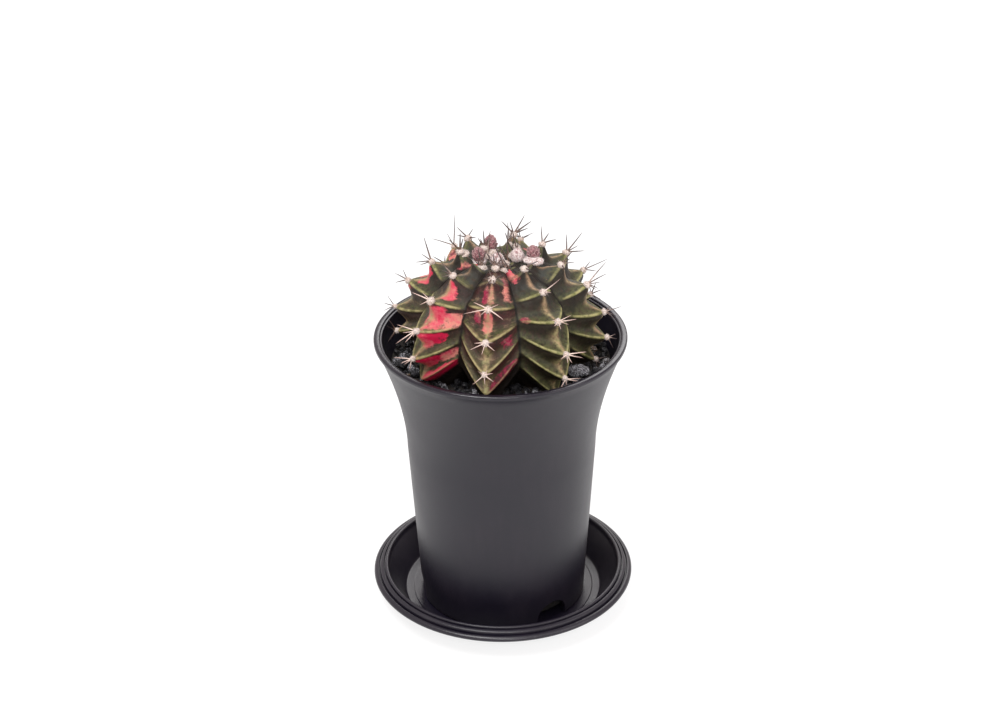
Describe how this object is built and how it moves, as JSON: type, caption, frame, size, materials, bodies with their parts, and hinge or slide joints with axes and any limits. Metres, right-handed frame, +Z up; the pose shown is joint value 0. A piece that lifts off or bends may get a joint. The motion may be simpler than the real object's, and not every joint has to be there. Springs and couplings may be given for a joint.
{
  "type": "potted round cactus",
  "caption": "Round ribbed cactus with woolly spine clusters and flower buds, in gritty soil in a flared plastic pot that stands in a shallow saucer.",
  "frame": {"origin": "centre of the saucer's underside, on the surface that the saucer stands on", "axes": "+Z up along the pot's axis, -Y towards the front, +X to the right as seen from the front"},
  "size_m": [0.096, 0.096, 0.1485],
  "materials": {
    "black_plastic": "satin black moulded plastic",
    "soil": "dark gritty potting mix",
    "gravel": "damp black volcanic gravel with small glints",
    "cactus_skin": "waxy dark olive skin with yellow-green ridges and pink patches",
    "spines": "pale horny spines on cream wool, darker near the crown",
    "bud_scales": "dull purple-brown scales",
    "bud_wool": "pale pinkish wool"
  },
  "bodies": {
    "root": {"cactus_body": "cactus_skin", "flower_bud_back": "bud_scales", "flower_bud_left": "bud_scales", "flower_bud_right": "bud_scales", "gravel_stone_1": "gravel", "gravel_stone_2": "gravel", "gravel_stone_3": "gravel", "gravel_stone_4": "gravel", "gravel_stone_5": "gravel", "gravel_stone_6": "gravel", "gravel_stone_7": "gravel", "gravel_stone_8": "gravel", "gravel_stone_9": "gravel", "pot": "black_plastic", "potting_soil": "soil", "saucer": "black_plastic", "spines_rib1_row1": "spines", "spines_rib1_row2": "spines", "spines_rib1_row3": "spines", "spines_rib1_row4": "spines", "spines_rib1_row5": "spines", "spines_rib2_row2": "spines", "spines_rib2_row3": "spines", "spines_rib2_row4": "spines", "spines_rib2_row5": "spines", "spines_rib2_row6": "spines", "spines_rib3_row1": "spines", "spines_rib3_row2": "spines", "spines_rib3_row3": "spines", "spines_rib3_row4": "spines", "spines_rib3_row5": "spines", "spines_rib3_row6": "spines", "spines_rib4_row1": "spines", "spines_rib4_row2": "spines", "spines_rib4_row3": "spines", "spines_rib4_row4": "spines", "spines_rib4_row5": "spines", "spines_rib5_row1": "spines", "spines_rib5_row2": "spines", "spines_rib5_row3": "spines", "spines_rib5_row4": "spines", "spines_rib5_row5": "spines", "spines_rib6_row1": "spines", "spines_rib6_row2": "spines", "spines_rib6_row3": "spines", "spines_rib6_row4": "spines", "spines_rib6_row5": "spines", "spines_rib7_row2": "spines", "spines_rib7_row3": "spines", "spines_rib7_row4": "spines", "spines_rib7_row5": "spines", "spines_rib7_row6": "spines", "spines_rib8_row1": "spines", "spines_rib8_row2": "spines", "spines_rib8_row3": "spines", "spines_rib8_row4": "spines", "spines_rib8_row5": "spines", "woolly_bud_back": "bud_wool", "woolly_bud_front": "bud_wool"}
  },
  "joints": []
}
